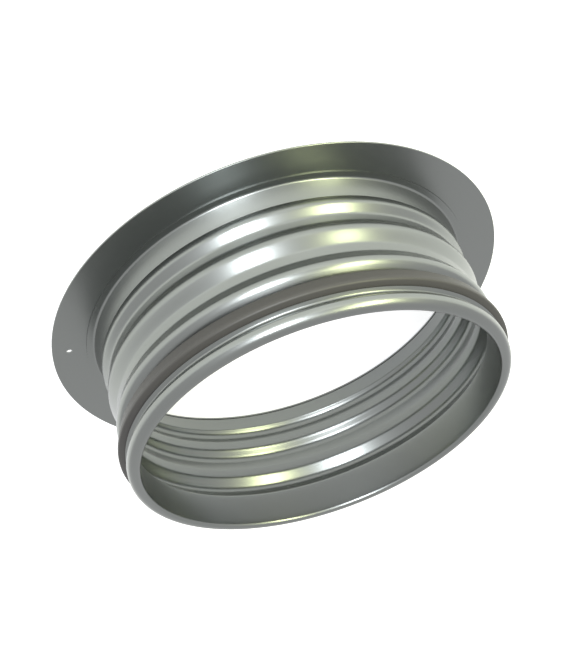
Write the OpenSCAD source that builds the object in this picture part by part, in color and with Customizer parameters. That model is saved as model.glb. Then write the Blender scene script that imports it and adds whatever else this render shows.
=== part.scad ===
// Flanged duct collar: a flat sheet ring, a beaded spigot rolled from sheet, and a rubber lip seal.
// It stands on its ring at Z = 0 with the spigot up, and its axis is Z. All sizes in millimetres.

/* [Duct] */
// Inside diameter of the round duct that pushes over the spigot
duct_d = 200; // [120:1:400]
// Radial play between the duct and the spigot's metal
duct_play = 0.7; // [0.3:0.1:1.5]
// Thickness of the spigot's sheet
sheet_t = 0.6; // [0.4:0.05:0.8]

/* [Flange ring] */
// Width of the ring, from its opening to its outer edge
ring_w = 21.5; // [15:0.5:60]
// Thickness of the ring
ring_t = 0.8; // [0.5:0.1:2]
// Diameter of the small hole in the ring
hole_d = 3; // [2:0.1:5]
// Distance from the ring's outer edge to the hole's centre
hole_inset = 8.6; // [5:0.1:10]
// Direction of the hole
hole_turn = 106.8; // [0:0.1:360]

/* [Neck] */
// How far the spigot's turned-out lip reaches over the ring, past the root of the neck
lip_w = 3.6; // [2:0.1:8]
// Inside radius of the bend from the lip to the neck
lip_bend = 1.2; // [0.6:0.1:2.5]
// How much wider in radius the neck is at its root than at its crease
neck_flare = 3.1; // [1:0.1:5]
// Height of the crease where the neck meets the first bead
crease_z = 10.7; // [8:0.1:30]
// Depth of the crease below the crest of the beads
crease_depth = 1.9; // [1:0.1:3]
// Inside radius of the crease
crease_bend = 0.5; // [0.3:0.1:1.5]

/* [Beads] */
// Height from the crease to the middle of the first bead
first_bead = 3.7; // [3.3:0.1:8]
// Distance from the first bead to the second
bead_gap_1 = 16.1; // [15:0.1:40]
// Distance from the second bead to the third
bead_gap_2 = 20; // [19:0.1:40]
// Depth of the wall between the beads below their crests
bead_depth = 2.9; // [1.5:0.1:4]
// Width of a bead's crest between its two flanks
crest_w = 2.8; // [2:0.1:5]
// Radius of the roundings at a bead's crest and foot
bead_bend = 4; // [2:0.1:6]
// Lengths of the second and third beads' lower flanks
rise_w = [5, 6.6]; // [3:0.1:8]
// Lengths of the first and second beads' upper flanks
fall_w = [6, 8.2]; // [3:0.1:9]

/* [Hem and seat] */
// Length from the third bead down to the seat of the seal
seat_drop = 6.9; // [6:0.1:15]
// Depth of the seat below the crest of the beads
seat_depth = 5.7; // [3.5:0.1:8]
// Length of the seat that the seal shows on
seal_h = 9.2; // [6:0.1:15]
// Length of the sheet folded back over the end
hem_h = 10.2; // [9:0.1:20]
// Radius of the rim on the inside of the fold
rim_bend = 1.9; // [1:0.1:3]
// Radius of the rim on the outside of the fold
nose_bend = 3.9; // [1:0.1:4.5]
// Length of the straight band around the hem
hem_land = 1; // [0.6:0.1:3]
// Depth of the groove that pinches the seal's foot, below the hem's band
pinch_depth = 2.2; // [1:0.1:3]
// Length of the slope from the band into the groove
pinch_run = 2.4; // [2:0.1:4]
// How far the hem's cut edge flares out of the groove
edge_flare = 1.5; // [0.5:0.1:2]

/* [Seam] */
// Width of the welded lap down the inside of the spigot
seam_w = 8; // [4:0.5:15]
// How far the lap stands in from the sheet
seam_rise = 0.3; // [0.1:0.05:0.5]
// Direction of the middle of the lap
seam_turn = 264; // [0:1:360]

/* [Seal] */
// How far the seal's lip stands out past the duct's inside
lip_squeeze = 1.6; // [0.5:0.1:3]
// How much the lip narrows in radius from its crest to its tip
lip_taper = 1.9; // [0.5:0.1:2.5]
// Thickness of the lip
lip_t = 2.2; // [1.2:0.1:2.6]
// Distance from the hem's edge to the top of the lip's crest
nose_drop = 1.6; // [1:0.1:3]
// Width of the lip's crest
nose_w = 1.6; // [1:0.1:3]
// Thickness of the web between the hem's edge and the hollow behind the lip
web_t = 3.6; // [2:0.1:5]
// Thickness of the heel that lies on the seat, behind the hollow
heel_t = 1.6; // [1:0.1:2]
// Gap between the lip's tip and the slope of the third bead
lip_gap = 0.4; // [0.2:0.1:1.5]
// Length of the seal's foot under the hem
foot_grip = 3.4; // [3:0.1:5]
// Clearance between the seal and the sheet around it
seal_play = 0.1; // [0.05:0.05:0.3]

/* [Hidden] */
$fn = 180;
bend_step = 15;
steel = [0.64, 0.66, 0.65];
zinc = [0.70, 0.72, 0.71];
rubber = [0.13, 0.13, 0.13];

// Radii. The inside face of the spigot is the guide for its sheet, and it turns over the rim to
// become the outside of the hem.
opening_r = duct_d / 2;
ring_r = opening_r + ring_w;
crest_r = opening_r - duct_play;
root_r = crest_r - crease_depth + neck_flare - sheet_t;
crease_r = crest_r - crease_depth - sheet_t;
valley_r = crest_r - bead_depth - sheet_t;
seat_r = crest_r - seat_depth - sheet_t;
groove_r = crest_r - pinch_depth;

// Heights, added up from the flange
bead_z = [crease_z + first_bead, crease_z + first_bead + bead_gap_1,
          crease_z + first_bead + bead_gap_1 + bead_gap_2];
seat_z = bead_z[2] + seat_drop;
skirt_z = seat_z + seal_h;
top_z = skirt_z + hem_h;
knee_bend = 1.8;
groove_bend = 0.8;
groove_w = 1;
knee_angle = atan2(pinch_depth, pinch_run);
knee_z = top_z - nose_bend - hem_land - knee_bend * tan(knee_angle / 2);
groove_z = knee_z - pinch_run - groove_w / 2;

function unit(v) = v / norm(v);
function turned(v, a) = [v.x * cos(a) - v.y * sin(a), v.x * sin(a) + v.y * cos(a)];
function right(v) = [v.y, -v.x];
function flat(p) = [p[0], p[1]];

// One rounded corner at q, between p and s, as pairs of a point and the direction to its right
function corner(p, q, s) =
    let (a = unit(flat(q) - flat(p)), b = unit(flat(s) - flat(q)))
    let (w = atan2(a.x * b.y - a.y * b.x, a * b), side = w < 0 ? -1 : 1)
    let (steps = max(1, ceil(abs(w) / bend_step)))
    let (start = flat(q) - a * q[2] * tan(abs(w) / 2))
    let (centre = start - side * q[2] * right(a))
    [for (i = [0 : steps]) let (d = turned(a, w * i / steps))
        [centre + side * q[2] * right(d), right(d)]];

// A bent line through corners given as [radius, height, rounding]
function bent(path) = let (n = len(path) - 1) concat(
    [[flat(path[0]), right(unit(flat(path[1]) - flat(path[0])))]],
    [for (i = [1 : n - 1]) each corner(path[i - 1], path[i], path[i + 1])],
    [[flat(path[n]), right(unit(flat(path[n]) - flat(path[n - 1])))]]);

// The outline of a sheet that follows a bent line, from one offset to another at its right side
function sheet(path, from, to) = let (b = bent(path), n = len(b) - 1) concat(
    [for (i = [0 : n]) b[i][0] + from * b[i][1]],
    [for (i = [n : -1 : 0]) b[i][0] + to * b[i][1]]);

// An outline with its corners rounded
function rounded(loop) = let (n = len(loop))
    [for (i = [0 : n - 1]) for (c = corner(loop[(i + n - 1) % n], loop[i], loop[(i + 1) % n])) c[0]];

function crest(z) = [
    [crest_r - sheet_t, z - crest_w / 2, bead_bend],
    [crest_r - sheet_t, z + crest_w / 2, bead_bend]];

wall = concat(
    [[crease_r, crease_z, crease_bend + sheet_t]],
    crest(bead_z[0]),
    [[valley_r, bead_z[0] + fall_w[0], bead_bend]],
    [[valley_r, bead_z[1] - rise_w[0], bead_bend]],
    crest(bead_z[1]),
    [[valley_r, bead_z[1] + fall_w[1], bead_bend]],
    [[valley_r, bead_z[2] - rise_w[1], bead_bend]],
    crest(bead_z[2]),
    [[seat_r, seat_z, rim_bend]]);

hem = [
    [seat_r, top_z, rim_bend],
    [crest_r, top_z, nose_bend],
    [crest_r, knee_z, knee_bend],
    [groove_r, groove_z + groove_w / 2, groove_bend],
    [groove_r, groove_z - groove_w / 2, groove_bend],
    [groove_r + edge_flare, skirt_z, 0]];

lip = [
    [root_r + sheet_t + lip_w, ring_t, 0],
    [root_r, ring_t, lip_bend + sheet_t]];

// The flat ring: the face that goes against a wall, with one small fixing hole
module flange_ring() {
    color(steel)
    difference() {
        cylinder(r = ring_r, h = ring_t);
        translate([0, 0, -1]) cylinder(r = opening_r, h = ring_t + 2);
        rotate([0, 0, hole_turn]) translate([ring_r - hole_inset, 0, -1])
            cylinder(d = hole_d, h = ring_t + 2, $fn = 32);
    }
}

// The welded lap down the inside, from the crease to the rim
module seam() {
    angle = seam_w / seat_r * 180 / PI;
    rotate([0, 0, seam_turn - angle / 2])
    rotate_extrude(angle = angle)
    polygon(sheet(concat(wall, [[seat_r, top_z - rim_bend, 0]]), -seam_rise, sheet_t / 2));
}

// The spigot: one sheet with a lip on the ring, a neck, three beads, the seal's seat and a hem
module spigot_tube() {
    color(zinc) {
        rotate_extrude() polygon(sheet(concat(lip, wall, hem), 0, sheet_t));
        seam();
    }
}

// The rubber ring: a foot held under the hem and a lip that leans back towards the flange
module lip_seal() {
    inner = seat_r + sheet_t + seal_play;
    foot = groove_r - sheet_t - seal_play;
    proud = opening_r + lip_squeeze;
    low = seat_z + lip_gap;
    // The hem's flared edge: its direction, its outer corner, and the seal's clear line under it
    down = unit([edge_flare, skirt_z - groove_z + groove_w / 2]);
    edge = [groove_r + edge_flare, skirt_z] + seal_play * down;
    under = edge + (sheet_t + seal_play) * right(down);
    neck_z = under.y - (under.x - foot) * down.y / down.x;
    color(rubber)
    rotate_extrude()
    polygon(rounded([
        [inner, low + 0.4, 0.3],
        [inner, skirt_z + foot_grip, 0.4],
        [foot, skirt_z + foot_grip, 0.4],
        [foot, neck_z, 0.3],
        [under.x, under.y, 0.1],
        [edge.x, edge.y, 0.1],
        [proud, skirt_z - nose_drop, 1.2],
        [proud, skirt_z - nose_drop - nose_w, 2],
        [proud - lip_taper, low, 0.5],
        [proud - lip_taper - lip_t, low, 0.5],
        [inner + heel_t + 0.9, skirt_z - web_t, 0.4],
        [inner + heel_t, skirt_z - web_t, 0.4],
        [inner + heel_t, low + 0.4, 0.3]]));
}

flange_ring();
spigot_tube();
lip_seal();
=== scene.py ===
import math

import bpy
from mathutils import Matrix, Vector


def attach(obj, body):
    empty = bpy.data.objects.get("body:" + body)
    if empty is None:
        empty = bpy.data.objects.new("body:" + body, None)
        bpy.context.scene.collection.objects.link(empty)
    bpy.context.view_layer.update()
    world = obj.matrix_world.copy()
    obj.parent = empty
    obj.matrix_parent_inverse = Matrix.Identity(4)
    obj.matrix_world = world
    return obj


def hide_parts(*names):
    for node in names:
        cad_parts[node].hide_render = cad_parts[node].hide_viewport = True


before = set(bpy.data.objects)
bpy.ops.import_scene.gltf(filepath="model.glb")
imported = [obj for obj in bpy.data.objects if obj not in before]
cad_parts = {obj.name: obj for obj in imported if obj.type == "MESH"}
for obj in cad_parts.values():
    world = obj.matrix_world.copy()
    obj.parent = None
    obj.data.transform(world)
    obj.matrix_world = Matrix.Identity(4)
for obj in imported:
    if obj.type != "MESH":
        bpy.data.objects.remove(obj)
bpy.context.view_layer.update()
mm = 0.001
print("frame loaded")


def deselectAll():
    if bpy.context.object and bpy.context.object.mode != "OBJECT":
        bpy.ops.object.mode_set(mode="OBJECT")
    bpy.ops.object.select_all(action="DESELECT")


def makeActive(obj):
    deselectAll()
    bpy.context.view_layer.objects.active = obj
    obj.select_set(True)


def applyModifiers(obj):
    makeActive(obj)
    for m in list(obj.modifiers):
        bpy.ops.object.modifier_apply(modifier=m.name)


# a bent line through corners given as (radius, height, rounding), all in mm
def bentLine(corners, stepDegrees, longest):
    pts = [Vector(corners[0][:2])]
    for before, here, after in zip(corners, corners[1:], corners[2:]):
        p, q, s = Vector(before[:2]), Vector(here[:2]), Vector(after[:2])
        a, b = (q - p).normalized(), (s - q).normalized()
        turn = math.atan2(a.x * b.y - a.y * b.x, a.dot(b))
        start = q - a * here[2] * math.tan(abs(turn) / 2)
        side = 1 if turn > 0 else -1
        centre = start + side * here[2] * Vector((-a.y, a.x))
        steps = max(1, math.ceil(abs(math.degrees(turn)) / stepDegrees))
        for i in range(steps + 1):
            pts.append(centre + Matrix.Rotation(turn * i / steps, 2) @ (start - centre))
    pts.append(Vector(corners[-1][:2]))
    line = [pts[0]]
    for p in pts[1:]:
        gap = (p - line[-1]).length
        if gap < 0.02:
            continue
        n = max(1, math.ceil(gap / longest))
        base = line[-1]
        for i in range(1, n + 1):
            line.append(base.lerp(p, i / n))
    return line


# draws the line from one point, vertex by vertex, and spins it round the axis
def spunSheet(name, line, steps, closed=False, angle=360.0, startAngle=0.0):
    deselectAll()
    first = line[0]
    bpy.ops.mesh.primitive_plane_add(size=0.001, location=(0, 0, 0))
    obj = bpy.context.object
    obj.name = name
    obj.data.name = name
    bpy.ops.object.mode_set(mode="EDIT")
    bpy.ops.mesh.merge(type="CENTER")
    bpy.ops.transform.translate(value=(first.x * mm, 0, first.y * mm))
    for p, q in zip(line, line[1:]):
        bpy.ops.mesh.extrude_region_move(
            TRANSFORM_OT_translate={"value": ((q.x - p.x) * mm, 0, (q.y - p.y) * mm)})
    bpy.ops.mesh.select_all(action="SELECT")
    if closed:
        bpy.ops.mesh.remove_doubles(threshold=1e-6)
        bpy.ops.object.mode_set(mode="OBJECT")
        ends = [v.index for v in obj.data.vertices
                if sum(v.index in e.vertices for e in obj.data.edges) == 1]
        bpy.ops.object.mode_set(mode="EDIT")
        if len(ends) == 2:
            bpy.ops.mesh.select_all(action="DESELECT")
            bpy.ops.object.mode_set(mode="OBJECT")
            for i in ends:
                obj.data.vertices[i].select = True
            bpy.ops.object.mode_set(mode="EDIT")
            bpy.ops.mesh.edge_face_add()
            bpy.ops.mesh.select_all(action="SELECT")
    if startAngle:
        bpy.ops.transform.rotate(value=math.radians(startAngle), orient_axis="Z",
                                 center_override=(0, 0, 0))
    bpy.ops.mesh.spin(steps=steps, angle=math.radians(angle), center=(0, 0, 0), axis=(0, 0, 1))
    bpy.ops.mesh.select_all(action="SELECT")
    bpy.ops.mesh.remove_doubles(threshold=2e-6)
    bpy.ops.mesh.normals_make_consistent(inside=False)
    bpy.ops.object.mode_set(mode="OBJECT")
    return obj


# camera, lamps, floor
camera = {"place": (0.391875, 0.27246, 0.325565), "lens": 58.6,
          "right": (0.3754, -0.8776, 0.2981), "up": (0.6219, 0.0, -0.7831),
          "back": (0.6872, 0.4794, 0.5458)}
bpy.ops.object.camera_add(location=(0, 0, 0))
cam = bpy.context.object
cam.name = "photoCamera"
axes = Matrix((camera["right"], camera["up"], camera["back"])).transposed()
cam.matrix_world = Matrix.Translation(camera["place"]) @ axes.to_4x4()
cam.data.lens = camera["lens"]
cam.data.sensor_width = 36
cam.data.clip_start = 0.01
scene = bpy.context.scene
scene.camera = cam
scene.view_settings.view_transform = "Standard"

lampSet = {  # azimuth and elevation of the lamp seen from the part, its size, power and tint
    "whiteWindow": dict(azimuth=39, elevation=24, distance=1.5, width=0.42, height=1.1,
                        watts=26, tint=(0.93, 0.97, 1.0)),
    "warmWindow": dict(azimuth=-11, elevation=24, distance=1.5, width=0.36, height=1.1,
                       watts=19, tint=(0.95, 1.0, 0.55)),
}


def addLamp(name, azimuth, elevation, distance, width, height, watts, tint):
    az, el = math.radians(azimuth), math.radians(elevation)
    aim = Vector((0, 0, 0.03))
    way = Vector((math.cos(az) * math.cos(el), math.sin(az) * math.cos(el), math.sin(el)))
    bpy.ops.object.light_add(type="AREA", location=aim + way * distance)
    lamp = bpy.context.object
    lamp.name = name
    lamp.rotation_euler = way.to_track_quat("Z", "Y").to_euler()
    lamp.data.shape = "RECTANGLE"
    lamp.data.size, lamp.data.size_y = width, height
    lamp.data.energy = watts
    lamp.data.color = tint
    return lamp


for lampName, spec in lampSet.items():
    addLamp(lampName, **spec)

world = bpy.data.worlds.new("paleRoom")
scene.world = world
world.use_nodes = True
wn = world.node_tree
wn.nodes.clear()
wOut = wn.nodes.new("ShaderNodeOutputWorld")
wBack = wn.nodes.new("ShaderNodeBackground")
wBack.inputs["Color"].default_value = (1, 1, 1, 1)
wBack.inputs["Strength"].default_value = 1.0
wn.links.new(wBack.outputs[0], wOut.inputs[0])

deselectAll()
bpy.ops.mesh.primitive_plane_add(size=8, location=(0, 0, -0.0003))
floor = bpy.context.object
floor.name = "floor"
floorMat = bpy.data.materials.new("paleFloor")
floorMat.use_nodes = True
fn = floorMat.node_tree
fn.nodes.clear()
fOut = fn.nodes.new("ShaderNodeOutputMaterial")
fDiff = fn.nodes.new("ShaderNodeBsdfDiffuse")
fDiff.inputs["Color"].default_value = (0.8, 0.8, 0.8, 1)
fGlow = fn.nodes.new("ShaderNodeEmission")
fPath = fn.nodes.new("ShaderNodeLightPath")
fAdd = fn.nodes.new("ShaderNodeAddShader")
fMax = fn.nodes.new("ShaderNodeMath")
fMax.operation = "MAXIMUM"
fMax2 = fn.nodes.new("ShaderNodeMath")
fMax2.operation = "MAXIMUM"
fMul = fn.nodes.new("ShaderNodeMath")
fMul.operation = "MULTIPLY"
fMul.inputs[1].default_value = 0.5
fn.links.new(fPath.outputs["Is Camera Ray"], fMax.inputs[0])
fn.links.new(fPath.outputs["Is Glossy Ray"], fMax.inputs[1])
fn.links.new(fMax.outputs[0], fMax2.inputs[0])
fn.links.new(fPath.outputs["Is Transmission Ray"], fMax2.inputs[1])
fn.links.new(fMax2.outputs[0], fMul.inputs[0])
fn.links.new(fMul.outputs[0], fGlow.inputs["Strength"])
fn.links.new(fDiff.outputs[0], fAdd.inputs[0])
fn.links.new(fGlow.outputs[0], fAdd.inputs[1])
fn.links.new(fAdd.outputs[0], fOut.inputs[0])
floor.data.materials.append(floorMat)
print("camera, lamps and floor")

# the spigot
spigot = {
    "sheet": 0.6, "crest": 98.7, "valley": 95.8, "root": 99.9, "lip": 104.1, "ringTop": 0.8,
    "crease": (96.8, 10.7), "beads": (14.4, 30.5, 50.5), "crestHalf": 1.4, "bend": 4.0,
    "seat": (93.0, 57.4), "top": 76.8, "hem": 99.3, "groove": 97.1,
}


def spigotCorners(s):
    def crest(z):
        return [(s["crest"], z - s["crestHalf"], s["bend"]),
                (s["crest"], z + s["crestHalf"], s["bend"])]

    b = s["beads"]
    return ([(s["lip"], s["ringTop"], 0), (s["root"], s["ringTop"], 1.8), (*s["crease"], 1.1)]
            + crest(b[0]) + [(s["valley"], b[0] + 6, s["bend"]), (s["valley"], b[1] - 5, s["bend"])]
            + crest(b[1]) + [(s["valley"], b[1] + 8.2, s["bend"]), (s["valley"], b[2] - 6.6, s["bend"])]
            + crest(b[2]) + [(*s["seat"], 1.9), (s["seat"][0], s["top"], 1.9),
                             (s["hem"], s["top"], 3.9), (s["hem"], 71.2, 1.8),
                             (s["groove"], 68.8, 0.8), (s["groove"], 67.8, 0.8),
                             (s["groove"] + 1.5, 66.6, 0)])


spigotPiece = spunSheet("spigotShell", bentLine(spigotCorners(spigot), 8, 2.4), 300)
spigotPiece.data.update()
# the guide face looks at the axis on the wall, so the sheet grows outwards from it
probe = min(spigotPiece.data.polygons,
            key=lambda f: abs(f.center.z - 0.065) + abs(f.center.xy.length - 0.093))
if probe.normal.xy.dot(probe.center.xy) > 0:
    makeActive(spigotPiece)
    bpy.ops.object.mode_set(mode="EDIT")
    bpy.ops.mesh.select_all(action="SELECT")
    bpy.ops.mesh.flip_normals()
    bpy.ops.object.mode_set(mode="OBJECT")
thick = spigotPiece.modifiers.new("sheet", "SOLIDIFY")
thick.thickness = spigot["sheet"] * mm
thick.offset = -1
thick.use_even_offset = True
applyModifiers(spigotPiece)
bpy.ops.object.shade_smooth_by_angle(angle=math.radians(40))
print("spigot", len(spigotPiece.data.polygons))

# the flange ring
ring = {"inner": 100.0, "outer": 121.5, "thick": 0.8,
        "hole": 1.5, "holeAt": 112.9, "holeTurn": 106.8}
ringLine = [Vector(p) for p in ((ring["inner"], 0.0), (ring["outer"] - 0.1, 0.0), (ring["outer"], 0.1),
                                (ring["outer"], ring["thick"] - 0.15), (ring["outer"] - 0.15, ring["thick"]),
                                (112.0, ring["thick"]), (106.0, ring["thick"]), (104.0, ring["thick"]),
                                (ring["inner"] + 0.1, ring["thick"]), (ring["inner"], ring["thick"] - 0.1))]
ringPiece = spunSheet("flangeRing", ringLine, 360, closed=True)
deselectAll()
turn = math.radians(ring["holeTurn"])
holePlace = Vector((math.cos(turn), math.sin(turn), 0)) * ring["holeAt"] * mm
bpy.ops.mesh.primitive_cylinder_add(vertices=48, radius=ring["hole"] * mm, depth=0.01,
                                    location=holePlace)
drill = bpy.context.object
cut = ringPiece.modifiers.new("hole", "BOOLEAN")
cut.object = drill
cut.solver = "EXACT"
applyModifiers(ringPiece)
bpy.data.objects.remove(drill)
makeActive(ringPiece)
bpy.ops.object.shade_smooth_by_angle(angle=math.radians(30))
print("ring", len(ringPiece.data.polygons))

# the lip seal
seal = {"inner": 93.7, "foot": 96.4, "proud": 101.6, "low": 57.8, "skirt": 66.6}
s = seal
sealCorners = [(s["inner"], 60.0, 0), (s["inner"], s["skirt"] + 3.4, 0.4), (s["foot"], s["skirt"] + 3.4, 0.4),
               (s["foot"], 67.5, 0.3), (98.22, 66.02, 0.1), (98.68, 66.54, 0.1),
               (s["proud"], 65.0, 1.2), (s["proud"], 63.4, 2.0), (s["proud"] - 1.9, s["low"], 0.5),
               (s["proud"] - 4.1, s["low"], 0.5), (96.2, 63.0, 0.4), (95.3, 63.0, 0.4), (95.3, 58.2, 0.3),
               (s["inner"], 58.2, 0.3), (s["inner"], 60.0, 0)]
sealPiece = spunSheet("lipSeal", bentLine(sealCorners, 12, 2.0), 300, closed=True)
makeActive(sealPiece)
bpy.ops.object.shade_smooth_by_angle(angle=math.radians(40))
print("seal", len(sealPiece.data.polygons))


# finishes
def newMaterial(name):
    m = bpy.data.materials.new(name)
    m.use_nodes = True
    return m, m.node_tree.nodes["Principled BSDF"]


zincMat, zincBsdf = newMaterial("zincSheet")
zincBsdf.inputs["Base Color"].default_value = (0.21, 0.22, 0.215, 1)
zincBsdf.inputs["Metallic"].default_value = 1.0
zincBsdf.inputs["Roughness"].default_value = 0.3
rubberMat, rubberBsdf = newMaterial("blackRubber")
rubberBsdf.inputs["Base Color"].default_value = (0.03, 0.028, 0.026, 1)
rubberBsdf.inputs["Roughness"].default_value = 0.5
for piece, mat in ((spigotPiece, zincMat), (ringPiece, zincMat), (sealPiece, rubberMat)):
    piece.data.materials.clear()
    piece.data.materials.append(mat)

# put the pieces under the root body and hide the CAD parts they stand in for
for piece, node, slot in ((spigotPiece, "spigot_tube", "galvanised_spigot"),
                          (ringPiece, "flange_ring", "galvanised_flange"),
                          (sealPiece, "lip_seal", "black_rubber")):
    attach(piece, "root")
    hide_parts(node)
